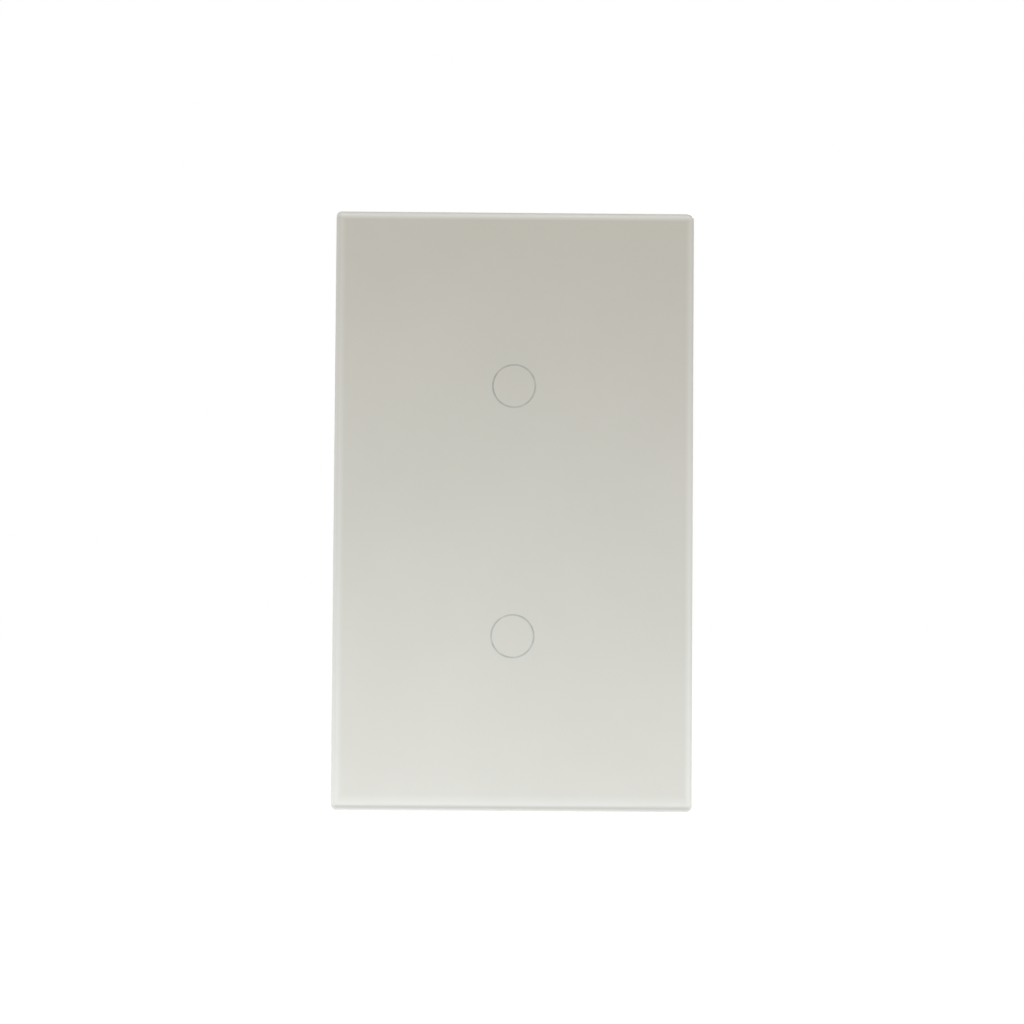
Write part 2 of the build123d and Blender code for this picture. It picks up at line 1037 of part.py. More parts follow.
def relay_yoke(x):
    """The bent iron frame with its core, pole face and common pin."""
    core_height_place = relay_bottom + coil_rise
    outer = relay_bottom + yoke_rise + yoke_thickness
    inner = core_height_place - pole_radius
    yoke = slab(
        yoke_width, outer - inner, relay_base_back, yoke_foot_back, x, (outer + inner) / 2
    )
    yoke += slab(
        yoke_width, yoke_thickness, relay_base_back, yoke_back, x, outer - yoke_thickness / 2
    )
    yoke += rod(core_radius, relay_base_back, pole_back, x, core_height_place)
    yoke += rod(pole_radius, pole_front, pole_back, x, core_height_place)
    pin_x, pin_z = yoke_lead(x)
    return yoke + rod(lead_radius, power_front - lead_tail, yoke_foot_back, pin_x, pin_z)


def relay_armature(x):
    """The iron plate that the pole pulls in."""
    top = relay_bottom + yoke_rise + yoke_thickness
    bottom = relay_bottom + coil_rise - pole_radius - part_gap
    return slab(
        yoke_width, top - bottom, armature_front, armature_back, x, (top + bottom) / 2
    )


def relay_contact_leaf(x):
    """The moving contact on its leaf, carried by the armature."""
    top = relay_bottom + coil_rise + pole_radius
    contact_height_place = relay_bottom + contact_rise
    bottom = contact_height_place - contact_radius
    leaf = slab(leaf_width, top - bottom, armature_back, leaf_back, x, (top + bottom) / 2)
    return leaf + rod(
        contact_radius, armature_back - contact_height, armature_back, x, contact_height_place
    )


def relay_fixed_contact(x):
    """The fixed contact on its bent arm, whose pin goes through the base."""
    contact_height_place = relay_bottom + contact_rise
    face = armature_back - contact_height - contact_gap
    shelf_back = face - contact_height
    shelf_front = shelf_back - contact_arm_thickness
    bottom = arm_middle() - contact_arm_thickness / 2
    top = contact_height_place + contact_radius
    arm = slab(
        contact_arm_width, top - bottom, shelf_front, shelf_back, x, (top + bottom) / 2
    )
    arm += slab(
        contact_arm_width, contact_arm_thickness, relay_base_back, shelf_back, x, arm_middle()
    )
    arm += rod(contact_radius, shelf_back, face, x, contact_height_place)
    return arm + rod(lead_radius, power_front - lead_tail, shelf_back, x, arm_middle())


def relay_return_spring(x):
    """The bent leaf that lifts the armature off the pole."""
    outer_face = relay_bottom + yoke_rise + yoke_thickness
    middle = outer_face + slip_gap + leaf_thickness / 2
    over_front = armature_back + slip_gap
    foot = armature_back - return_leaf_reach
    spring = slab(leaf_width, leaf_thickness, foot, over_front + leaf_thickness, x, middle)
    reach_top = middle + leaf_thickness / 2
    reach_bottom = outer_face - yoke_thickness - yoke_gap
    return spring + slab(
        leaf_width,
        reach_top - reach_bottom,
        over_front,
        over_front + leaf_thickness,
        x,
        (reach_top + reach_bottom) / 2,
    )


def relay_leads():
    places = []
    for x in relay_places:
        places += [*coil_leads(x), (x, arm_middle()), yoke_lead(x)]
    return places


# Supply parts. Each row is laid out from left to right, with one gap between neighbours.

def row_places(widths):
    """The middle of each part in a row that is centred on the board."""
    total = sum(widths) + (len(widths) - 1) * component_gap
    left = -total / 2
    places = []
    for width in widths:
        places.append(left + width / 2)
        left += width + component_gap
    return places


transformer_x, bulk_x = row_places([core_width, 2 * bulk_radius])
choke_x, varistor_x = row_places([2 * choke_radius, 2 * varistor_radius])
film_cap_x, rectifier_x, fuse_x = row_places([film_cap_length, rectifier_length, fuse_width])
film_cap_height_place = supply_top - film_cap_width / 2
rectifier_height_place = supply_top - rectifier_width / 2
component_front = power_back + component_rise


def lead_pair(x, z, along_x, spacing):
    """The two lead places of a part, side by side along X or one above the other."""
    if along_x:
        return [(x - spacing / 2, z), (x + spacing / 2, z)]
    return [(x, z - spacing / 2), (x, z + spacing / 2)]


supply_leads = {
    "bulk_capacitor": lead_pair(bulk_x, transformer_middle, True, bulk_radius),
    "choke": lead_pair(choke_x, middle_row, True, choke_radius),
    "varistor": lead_pair(varistor_x, middle_row, True, varistor_radius),
    "film_capacitor": lead_pair(
        film_cap_x, film_cap_height_place, True, film_cap_length - film_cap_width
    ),
    "rectifier": lead_pair(rectifier_x, rectifier_height_place, True, rectifier_width),
    "fuse": lead_pair(fuse_x, top_row_middle, False, fuse_length - fuse_width),
}


def transformer_pins():
    edge = bobbin_base_length / 2 - lead_radius - lead_gap
    first = -(transformer_pin_count - 1) / 2
    return [
        (transformer_x + (first + number) * transformer_pin_pitch, transformer_middle + end * edge)
        for number in range(transformer_pin_count)
        for end in (-1, 1)
    ]


def with_leads(body, name):
    """A part with its two leads, which go through the board."""
    for x, z in supply_leads[name]:
        body += rod(lead_radius, power_front - lead_tail, component_front + slip_gap, x, z)
    return body


def transformer_windows():
    """The middles of the core's two windows, left and right of its centre leg."""
    side = core_leg / 2 + core_window_width / 2
    return [transformer_x - side, transformer_x + side]


core_front = component_front + bobbin_base_height
core_window_front = core_front + (core_height - bobbin_base_height - component_rise
                                  - core_window_height) / 2
core_back = power_back + core_height


def transformer_core():
    core = slab(
        core_width, core_depth, core_front, core_back, transformer_x, transformer_middle
    )
    for x in transformer_windows():
        core -= slab(
            core_window_width,
            core_depth,
            core_window_front,
            core_window_front + core_window_height,
            x,
            transformer_middle,
        )
    return core


def transformer_winding():
    """The taped winding round the centre leg."""
    front = core_window_front + winding_margin
    back = core_window_front + core_window_height - winding_margin
    wide = core_leg + 2 * core_window_width - 2 * winding_margin
    high = core_depth + 2 * core_window_width - 2 * winding_margin
    winding = slab(
        wide, high, front, back, transformer_x, transformer_middle, radius=core_window_width / 2
    )
    return winding - slab(
        core_leg + 2 * slip_gap,
        core_depth + 2 * slip_gap,
        front,
        back,
        transformer_x,
        transformer_middle,
    )


def transformer_bobbin():
    """The pin base that carries the core."""
    base = slab(
        core_width,
        bobbin_base_length,
        component_front,
        core_front,
        transformer_x,
        transformer_middle,
    )
    for x, z in transformer_pins():
        base += rod(lead_radius, power_front - lead_tail, component_front, x, z)
    return base


def bulk_capacitor():
    back = component_front + bulk_height
    can = rod(bulk_radius, component_front, back, bulk_x, transformer_middle)
    can = fillet(edges_at(can, back), bulk_rim_round)
    band = component_front + bulk_radius / 2
    ring = rod(bulk_radius, band, band + bulk_groove, bulk_x, transformer_middle)
    ring -= rod(
        bulk_radius - bulk_groove, band, band + bulk_groove, bulk_x, transformer_middle
    )
    vent = cross_recess(
        bulk_groove, bulk_groove, bulk_radius, back, bulk_x, transformer_middle, -1
    )
    return with_leads(can - ring - vent, "bulk_capacitor")


def choke():
    """A drum core, wound between its two flanges."""
    back = component_front + choke_height
    drum = rod(choke_radius - choke_neck, component_front, back, choke_x, middle_row)
    drum += rod(choke_radius, component_front, component_front + choke_flange, choke_x, middle_row)
    drum += rod(choke_radius, back - choke_flange, back, choke_x, middle_row)
    return with_leads(drum, "choke")


def varistor():
    """A coated disc that stands on edge above its two leads."""
    middle = component_front + varistor_rise + varistor_radius
    disc = Pos(varistor_x, middle, middle_row) * Cylinder(varistor_radius, varistor_thickness)
    disc = fillet(disc.edges().filter_by(GeomType.CIRCLE), varistor_edge_round)
    for x, z in supply_leads["varistor"]:
        disc += rod(lead_radius, power_front - lead_tail, middle, x, z)
    return disc


def film_capacitor():
    back = component_front + film_cap_height
    box = slab(
        film_cap_length, film_cap_width, component_front, back, film_cap_x, film_cap_height_place
    )
    box = fillet(edges_at(box, back) + box.edges().filter_by(Axis.Y), film_cap_round)
    return with_leads(box, "film_capacitor")


def rectifier():
    back = component_front + rectifier_height
    body = slab(
        rectifier_length, rectifier_width, component_front, back, rectifier_x, rectifier_height_place
    )
    body -= rod(
        rectifier_notch_radius,
        back - rectifier_notch_radius,
        back,
        rectifier_x - rectifier_length / 2,
        rectifier_height_place,
    )
    return with_leads(body, "rectifier")


def fuse():
    back = component_front + fuse_height
    body = slab(fuse_width, fuse_length, component_front, back, fuse_x, top_row_middle)
    body = fillet(edges_at(body, back) + body.edges().filter_by(Axis.Y), fuse_round)
    return with_leads(body, "fuse")


def power_board():
    board = slab(
        board_width, board_length, power_front, power_back, radius=board_corner_radius
    )
    for x, z in post_places:
        board -= rod(board_screw_radius + screw_hole_gap, power_front, power_back, x, z)
    side = header_pin_side + 2 * lead_gap
    for x in header_columns():
        board -= slab(side, side, power_front, power_back, x, header_middle)
    leads = [*relay_leads(), *bar_leads(), *transformer_pins()]
    for pair in supply_leads.values():
        leads += pair
    for x, z in leads:
        board -= rod(lead_radius + lead_gap, power_front, power_back, x, z)
    return board


def pieces():
    """Every piece of the switch by the name of its node."""
    made = {
        "glass_panel": glass_panel(),
        "backing_film": backing_film(),
        "adhesive_tape": adhesive_tape(),
        "panel_frame": panel_frame(),
        "panel_clips": panel_clips(),
        "mounting_bracket": mounting_bracket(),
        "front_chassis": front_chassis(),
        "rear_housing": rear_housing(),
        "case_screws": case_screws(),
        "touch_board": touch_board(),
        "touch_board_screws": touch_board_screws(),
        "touch_chip": touch_chip(),
        "touch_passives": touch_passives(),
        "indicator_leds": indicator_leds(),
        "board_socket": board_socket(),
        "header_pins": header_pins(),
        "power_board": power_board(),
        "power_board_screws": power_board_screws(),
        "terminal_block": terminal_block(),
        "contact_bars": contact_bars(),
        "transformer_core": transformer_core(),
        "transformer_winding": transformer_winding(),
        "transformer_bobbin": transformer_bobbin(),
        "bulk_capacitor": bulk_capacitor(),
        "choke": choke(),
        "varistor": varistor(),
        "film_capacitor": film_capacitor(),
        "rectifier": rectifier(),
        "fuse": fuse(),
    }
    for gang, sign in gang_signs.items():
        made[f"light_guide_{gang}"] = light_guide(sign)
        made[f"touch_spring_{gang}"] = touch_spring(sign)
    for number, x in enumerate(pole_places, start=1):
        made[f"terminal_screw_{number}"] = terminal_screw(x)
        made[f"terminal_cage_{number}"] = terminal_cage(x)
    for number, x in enumerate(relay_places, start=1):
        made[f"relay_{number}_case"] = relay_case(x)
        made[f"relay_{number}_base"] = relay_base(x)
        made[f"relay_{number}_bobbin"] = relay_bobbin(x)
        made[f"relay_{number}_winding"] = relay_winding(x)
        made[f"relay_{number}_yoke"] = relay_yoke(x)
        made[f"relay_{number}_armature"] = relay_armature(x)
        made[f"relay_{number}_contact_leaf"] = relay_contact_leaf(x)
        made[f"relay_{number}_fixed_contact"] = relay_fixed_contact(x)
        made[f"relay_{number}_return_spring"] = relay_return_spring(x)
    return made


def main():
    os.makedirs("parts", exist_ok=True)
    for name, shape in pieces().items():
        export_step(shape, f"parts/{name}.step")
    print("overall", panel_width, panel_height, round(housing_back - glass_front, 3))
    print("mount spacing", round(mount_spacing, 3), "closing angle", round(closing_angle, 5))
    spring_pitch = (touch_front - film_back - 2 * spring_wire_radius) / spring_turns
    print("least gap between spring turns", round(spring_pitch - 2 * spring_wire_radius, 3))


if __name__ == "__main__":
    main()
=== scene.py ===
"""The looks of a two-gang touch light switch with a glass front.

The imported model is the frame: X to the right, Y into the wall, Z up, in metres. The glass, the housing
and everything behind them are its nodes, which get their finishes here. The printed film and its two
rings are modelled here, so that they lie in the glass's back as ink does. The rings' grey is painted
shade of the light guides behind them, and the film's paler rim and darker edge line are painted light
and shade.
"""

import json
import math

import bpy
from mathutils import Matrix, Vector


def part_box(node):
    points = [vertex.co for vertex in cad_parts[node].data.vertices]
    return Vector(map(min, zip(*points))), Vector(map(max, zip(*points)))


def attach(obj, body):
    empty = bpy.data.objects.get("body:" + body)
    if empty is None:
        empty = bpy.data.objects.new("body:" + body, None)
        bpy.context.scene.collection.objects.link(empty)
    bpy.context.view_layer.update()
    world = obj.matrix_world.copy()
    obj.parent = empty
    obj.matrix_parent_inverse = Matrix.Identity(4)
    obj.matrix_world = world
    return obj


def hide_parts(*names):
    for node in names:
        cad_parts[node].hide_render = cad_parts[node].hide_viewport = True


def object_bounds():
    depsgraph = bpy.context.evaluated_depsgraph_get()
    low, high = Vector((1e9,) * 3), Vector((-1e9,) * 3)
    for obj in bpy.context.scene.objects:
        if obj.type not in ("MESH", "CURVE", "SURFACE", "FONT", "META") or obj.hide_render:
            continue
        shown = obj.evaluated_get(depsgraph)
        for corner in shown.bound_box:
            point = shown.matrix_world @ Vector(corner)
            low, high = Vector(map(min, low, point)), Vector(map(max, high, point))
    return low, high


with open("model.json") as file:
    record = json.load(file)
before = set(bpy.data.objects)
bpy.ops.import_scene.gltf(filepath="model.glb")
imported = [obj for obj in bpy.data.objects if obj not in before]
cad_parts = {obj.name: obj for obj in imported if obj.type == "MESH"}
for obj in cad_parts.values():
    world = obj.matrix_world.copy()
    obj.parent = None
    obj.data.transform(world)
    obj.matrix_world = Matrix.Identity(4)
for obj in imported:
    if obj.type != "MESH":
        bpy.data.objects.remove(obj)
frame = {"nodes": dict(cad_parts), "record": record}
nodes = frame["nodes"]
cad_low, cad_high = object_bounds()

MM = 0.001

# The camera, fitted to the plate's corners in the photograph
camera_distance = 450 * MM
camera_azimuth = math.radians(-0.43)
camera_elevation = math.radians(-2.11)
camera_roll = math.radians(0.406)
camera_view_angle = math.radians(25.66)
camera_target = Vector((-0.27 * MM, cad_low.y, -0.33 * MM))
camera_near = 1 * MM
camera_far = 20.0

# The print behind the glass
film_bite = 0.04 * MM
ring_radius = 4.28 * MM
ring_line = 0.34 * MM
film_corner_radius = 0.8 * MM
circle_sides = 96
corner_sides = 10

# Painted light and shade at the print's edges: a paler rim of painted light along each edge, and a
# darker line of painted shade along the left and lower edges; the width and strength of each
left_painted_light = (1.6 * MM, 0.50)
right_painted_light = (1.2 * MM, 0.48)
lower_painted_light = (2.7 * MM, 0.42)
upper_painted_light = (0.9 * MM, 1.00)
left_painted_shade = (0.6 * MM, 0.32)
lower_painted_shade = (0.75 * MM, 0.95)

# Glass
glass_ior = 1.52
glass_haze = 0.012
glass_tints = ((0.955, 0.98, 0.968), (0.965, 0.985, 0.975))
glass_pass_colour = (0.94, 0.955, 0.945)
glass_body_colour = (0.0, 0.62, 0.42)
glass_body_density = 5.5

# Finishes, as linear colours
print_colour = (0.693, 0.648, 0.585)
# Painted light on the print's rim, and painted shade in the line along its edges
painted_edge_light_colour = (0.92, 0.89, 0.86)
painted_edge_shade_colour = (0.44, 0.42, 0.385)
# Painted shade: the grey of the shaded light guide seen through each ring
ring_painted_shade_colour = (0.48, 0.47, 0.43)
white_plastic_colour = (0.76, 0.76, 0.73)
housing_colour = (0.70, 0.70, 0.67)
guide_colour = (0.74, 0.77, 0.79)
zinc_colour = (0.62, 0.62, 0.61)
spring_colour = (0.56, 0.56, 0.57)
brass_colour = (0.78, 0.60, 0.30)
copper_colour = (0.80, 0.34, 0.17)
tin_colour = (0.70, 0.68, 0.64)
iron_colour = (0.44, 0.44, 0.43)
mask_colour = (0.015, 0.13, 0.055)
trace_colour = (0.035, 0.22, 0.095)
black_colour = (0.016, 0.016, 0.018)
ferrite_colour = (0.045, 0.045, 0.048)
terminal_colour = (0.03, 0.19, 0.085)
tape_colour = (0.80, 0.55, 0.06)
bobbin_colour = (0.56, 0.53, 0.44)
sleeve_colour = (0.035, 0.045, 0.09)
film_box_colour = (0.28, 0.29, 0.31)
varistor_colour = (0.02, 0.09, 0.33)
fuse_colour = (0.13, 0.045, 0.02)
led_colour = (0.82, 0.80, 0.62)

# Patterns: rolling marks on sheet, tracks under solder mask, ridges of a winding and pits of ferrite
mark_width = 0.4 * MM
mark_stretch = (0.08, 1, 1)
track_length = 6 * MM
track_width_share = 0.09
track_relief = 0.03 * MM
track_softness = 0.6
winding_wire_width = 0.12 * MM
ridges_at_scale_one = 3.2
ridge_wander = 0.4
ridge_relief = 0.05 * MM
pit_size = 0.5 * MM
pit_depth = 0.02 * MM

# Studio: the world's soft level, and a floor that glows up to white where it is seen
world_level = 0.365
world_colour = (1.0, 0.955, 0.89)
white = (1, 1, 1)
floor_size = 40.0
floor_drop = 400 * MM
floor_glow = 0.74
floor_cloud_size = 0.3
floor_colours = ((0.86, 0.86, 0.85), (0.88, 0.88, 0.87))

# Lamps: where each stands and looks, its size, power and colour, and whether gloss sees it
lamps = {
    "low_front": {
        "place": (-0.03, -0.16, -0.15),
        "target": (0, 0, -0.03),
        "size": (0.40, 0.14),
        "watts": 0.615,
        "colour": (0.85, 0.88, 1.0),
        "in_gloss": False,
    },
    "high_front": {
        "place": (0, -0.16, 0.30),
        "target": (0, 0, 0.02),
        "size": (0.40, 0.14),
        "watts": 0.16,
        "colour": (1.0, 0.74, 0.40),
        "in_gloss": True,
    },
    "left_side": {
        "place": (-0.45, -0.09, 0),
        "target": (0, 0, 0),
        "size": (0.2, 0.5),
        "watts": 0.25,
        "colour": white,
        "in_gloss": False,
    },
    "high_back": {
        "place": (0.35, 0.50, 0.45),
        "target": (0, 0, 0),
        "size": (0.4, 0.4),
        "watts": 4.5,
        "colour": white,
        "in_gloss": True,
    },
}


# Node helpers

class Shader:
    """A new material with its Principled shader and short ways to add nodes to it."""

    def __init__(self, name):
        self.material = bpy.data.materials.new(name)
        self.material.use_nodes = True
        self.tree = self.material.node_tree
        self.tree.nodes.clear()
        self.output = self.add("ShaderNodeOutputMaterial")
        self.principled = self.add("ShaderNodeBsdfPrincipled")
        self.link(self.principled.outputs[0], self.output.inputs["Surface"])
        self.place = self.add("ShaderNodeTexCoord").outputs["Object"]

    def add(self, kind):
        return self.tree.nodes.new(kind)

    def link(self, source, target):
        self.tree.links.new(source, target)

    def set(self, **values):
        """Plain values on the shader's own sockets, such as roughness=0.4."""
        for name, value in values.items():
            self.principled.inputs[name.replace("_", " ").title()].default_value = value

    def stretched(self, scale):
        """Object coordinates, scaled differently along each axis."""
        mapping = self.add("ShaderNodeMapping")
        mapping.inputs["Scale"].default_value = scale
        self.link(self.place, mapping.inputs["Vector"])
        return mapping.outputs[0]

    def noise(self, size, detail=3.0, place=None):
        """Noise whose blotches are about this many metres across."""
        noise = self.add("ShaderNodeTexNoise")
        noise.inputs["Scale"].default_value = 1 / size
        noise.inputs["Detail"].default_value = detail
        self.link(place or self.place, noise.inputs["Vector"])
        return noise.outputs[0]

    def cells(self, size):
        """A random value for each of many irregular cells of about this many metres."""
        cells = self.add("ShaderNodeTexVoronoi")
        cells.inputs["Scale"].default_value = 1 / size
        self.link(self.place, cells.inputs["Vector"])
        return cells.outputs["Color"]

    def spread(self, value, low, high, start=0.3, end=0.7):
        """Maps the values between start and end to a range of numbers."""
        spread = self.add("ShaderNodeMapRange")
        spread.inputs["From Min"].default_value = start
        spread.inputs["From Max"].default_value = end
        spread.inputs["To Min"].default_value = low
        spread.inputs["To Max"].default_value = high
        self.link(value, spread.inputs["Value"])
        return spread.outputs[0]

    def larger(self, first, second):
        return larger_value(self.tree, first, second)

    def mixed(self, factor, first, second):
        """A colour between two, by a pattern. Each colour is three numbers or a socket."""
        mix = self.add("ShaderNodeMix")
        mix.data_type = "RGBA"
        self.link(factor, mix.inputs["Factor"])
        for name, colour in (("A", first), ("B", second)):
            socket = next(s for s in mix.inputs if s.name == name and s.type == "RGBA")
            if isinstance(colour, tuple):
                socket.default_value = (*colour, 1)
            else:
                self.link(colour, socket)
        return next(s for s in mix.outputs if s.type == "RGBA")

    def blotched(self, colour, size, dark=1.0, light=1.0, detail=3.0):
        """A colour in blotches of about this many metres, between two shares of itself."""
        blotches = self.spread(self.noise(size, detail), 0, 1)
        return self.mixed(blotches, scaled(colour, dark), scaled(colour, light))

    def colour(self, socket):
        self.link(socket, self.principled.inputs["Base Color"])

    def roughness(self, socket):
        self.link(socket, self.principled.inputs["Roughness"])

    def uneven_gloss(self, size, low, high):
        """Roughness between two values, in blotches of about this many metres."""
        self.roughness(self.spread(self.noise(size), low, high))

    def bump(self, height, depth, strength=1.0):
        """Relief of this many metres from a 0 to 1 pattern."""
        bump = self.add("ShaderNodeBump")
        bump.inputs["Strength"].default_value = strength
        bump.inputs["Distance"].default_value = depth
        self.link(height, bump.inputs["Height"])
        self.link(bump.outputs[0], self.principled.inputs["Normal"])

    def grain(self, size, depth, detail=3.0):
        """Relief of grains of about this many metres."""
        self.bump(self.noise(size, detail), depth)


def larger_value(tree, first, second):
    larger = tree.nodes.new("ShaderNodeMath")
    larger.operation = "MAXIMUM"
    tree.links.new(first, larger.inputs[0])
    tree.links.new(second, larger.inputs[1])
    return larger.outputs[0]


def scaled(colour, share):
    return tuple(value * share for value in colour)


# Finishes

def moulded_plastic(name, colour, roughness=0.42, grain=0.25 * MM, relief=0.006 * MM):
    """Injection moulding: faint cloudiness, a fine spark-eroded grain and uneven gloss."""
    shader = Shader(name)
    shader.colour(shader.blotched(colour, size=14 * MM, dark=0.955, detail=4))
    shader.uneven_gloss(size=5 * MM, low=roughness - 0.06, high=roughness + 0.06)
    shader.grain(size=grain, depth=relief, detail=2)
    return shader.material


def plated_metal(name, colour, roughness=0.3, spangle=3 * MM):
    """Zinc-plated steel: cells of slightly different shade, with fine rolling marks."""
    shader = Shader(name)
    shader.set(metallic=1.0)
    shade = shader.spread(shader.cells(spangle), 0, 1, start=0, end=1)
    shader.colour(shader.mixed(shade, scaled(colour, share=0.86), colour))
    marks = shader.noise(mark_width, place=shader.stretched(mark_stretch))
    shader.roughness(shader.spread(marks, low=roughness - 0.06, high=roughness + 0.1))
    shader.bump(marks, depth=0.002 * MM)
    return shader.material


def drawn_metal(name, colour, roughness=0.25):
    """Wire, pins and turned pieces: fine marks and slight tarnish."""
    shader = Shader(name)
    shader.set(metallic=1.0)
    shader.colour(shader.blotched(colour, size=1.6 * MM, dark=0.8, detail=4))
    shader.uneven_gloss(size=0.5 * MM, low=roughness - 0.07, high=roughness + 0.1)
    shader.grain(size=0.4 * MM, depth=0.0008 * MM)
    return shader.material


def circuit_board(name):
    """Solder mask over copper: paler where a track runs beneath it."""
    shader = Shader(name)
    tracks = shader.add("ShaderNodeTexBrick")
    tracks.inputs["Scale"].default_value = 1 / track_length
    tracks.inputs["Mortar Size"].default_value = track_width_share
    tracks.inputs["Color1"].default_value = (0, 0, 0, 1)
    tracks.inputs["Color2"].default_value = (0, 0, 0, 1)
    tracks.inputs["Mortar"].default_value = (1, 1, 1, 1)
    turned = shader.add("ShaderNodeMapping")
    turned.inputs["Rotation"].default_value = (math.pi / 2, 0, 0)
    shader.link(shader.place, turned.inputs["Vector"])
    shader.link(turned.outputs[0], tracks.inputs["Vector"])
    shader.colour(shader.mixed(tracks.outputs["Color"], mask_colour, trace_colour))
    shader.uneven_gloss(size=3 * MM, low=0.22, high=0.36)
    shader.bump(tracks.outputs["Color"], depth=track_relief, strength=track_softness)
    return shader.material


def wound_wire(name, colour):
    """A winding seen from its side: ridges one wire apart, across the coil's axis. The grooves between
    turns are darkened as painted shade.
    """
    shader = Shader(name)
    shader.set(metallic=0.9)
    ridges = shader.add("ShaderNodeTexWave")
    ridges.bands_direction = "Y"
    ridges.inputs["Scale"].default_value = 1 / winding_wire_width / ridges_at_scale_one
    ridges.inputs["Distortion"].default_value = ridge_wander
    shader.link(shader.place, ridges.inputs["Vector"])
    # Painted shade: the colour darkens to under half in the grooves between turns
    shader.colour(shader.mixed(ridges.outputs["Fac"], scaled(colour, share=0.45), colour))
    shader.uneven_gloss(size=2 * MM, low=0.30, high=0.45)
    shader.bump(ridges.outputs["Fac"], depth=ridge_relief)
    return shader.material


def sintered(name, colour):
    """Ferrite: dull, with fine pits, painted darker in the pits as shade and paler on the rises as
    light.
    """
    shader = Shader(name)
    pits = shader.spread(shader.noise(pit_size, detail=5), 0, 1)
    # Painted shade and light: darker in the pits and paler on the rises, following the relief
    shader.colour(shader.mixed(pits, scaled(colour, share=0.7), scaled(colour, share=1.25)))
    shader.uneven_gloss(size=1.5 * MM, low=0.5, high=0.7)
    shader.bump(pits, depth=pit_depth)
    return shader.material


def milky_plastic(name, colour):
    """Light guides and indicator lights: resin that passes and scatters light."""
    shader = Shader(name)
    shader.set(subsurface_weight=0.6, subsurface_scale=1.5 * MM)
    shader.colour(shader.blotched(colour, size=4 * MM, dark=0.95))
    shader.uneven_gloss(size=2 * MM, low=0.24, high=0.34)
    shader.grain(size=0.3 * MM, depth=0.003 * MM)
    return shader.material


def along_edges(shader, edges):
    """A pattern that fades inward from edges, each given as its axis, place, width and strength."""
    axes = shader.add("ShaderNodeSeparateXYZ")
    shader.link(shader.place, axes.inputs[0])
    strongest = None
    for axis, edge, width, strength in edges:
        inward = edge + math.copysign(width, -edge)
        side = shader.spread(axes.outputs[axis], strength, 0, edge, inward)
        strongest = side if strongest is None else shader.larger(strongest, side)
    return strongest


def printed_white():
    """Screen-printed ink on the glass's back. Its rim is painted light: paler along each edge, as light
    that enters the glass's edges would make it. A darker line of painted shade runs along its left and
    lower edges.
    """
    shader = Shader("printed_white")
    low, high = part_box("backing_film")
    # Painted light: the print is paler towards each edge, most at the top
    painted_light_mask = along_edges(shader, (
        ("X", low.x, *left_painted_light),
        ("X", high.x, *right_painted_light),
        ("Z", low.z, *lower_painted_light),
        ("Z", high.z, *upper_painted_light),
    ))
    # Painted shade: a darker line along the print's left and lower edges
    dark = along_edges(shader, (("X", low.x, *left_painted_shade), ("Z", low.z, *lower_painted_shade)))
    ink = shader.blotched(print_colour, size=22 * MM, dark=0.975)
    ink_with_painted_light = shader.mixed(painted_light_mask, ink, painted_edge_light_colour)
    shader.colour(shader.mixed(dark, ink_with_painted_light, painted_edge_shade_colour))
    shader.uneven_gloss(size=4 * MM, low=0.5, high=0.62)
    shader.grain(size=0.2 * MM, depth=0.001 * MM)
    return shader.material


def ring_painted_shade():
    """The thin grey ring that lets the lamps behind it show. Its grey is painted shade: the shaded light
    guide seen through the ring's opening.
    """
    shader = Shader("ring_painted_shade")
    shader.colour(shader.blotched(ring_painted_shade_colour, size=1.6 * MM, dark=0.82, light=1.14))
    shader.uneven_gloss(size=1 * MM, low=0.4, high=0.55)
    shader.grain(size=0.2 * MM, depth=0.001 * MM)
    return shader.material


def clear_glass():
    """Toughened glass. Rays from lamps and from matt surfaces pass it straight."""
    shader = Shader("clear_glass")
    shader.set(transmission_weight=1.0)
    shader.principled.inputs["IOR"].default_value = glass_ior
    tint = shader.spread(shader.noise(30 * MM), 0, 1)
    shader.colour(shader.mixed(tint, *glass_tints))
    shader.uneven_gloss(size=18 * MM, low=0, high=glass_haze)
    path = shader.add("ShaderNodeLightPath")
    passing = shader.larger(path.outputs["Is Shadow Ray"], path.outputs["Is Diffuse Ray"])
    clear = shader.add("ShaderNodeBsdfTransparent")
    clear.inputs["Color"].default_value = (*glass_pass_colour, 1)
    either = shader.add("ShaderNodeMixShader")
    shader.link(passing, either.inputs[0])
    shader.link(shader.principled.outputs[0], either.inputs[1])
    shader.link(clear.outputs[0], either.inputs[2])
    shader.link(either.outputs[0], shader.output.inputs["Surface"])
    body = shader.add("ShaderNodeVolumeAbsorption")
    body.inputs["Color"].default_value = (*glass_body_colour, 1)
    body.inputs["Density"].default_value = glass_body_density
    shader.link(body.outputs[0], shader.output.inputs["Volume"])
    return shader.material


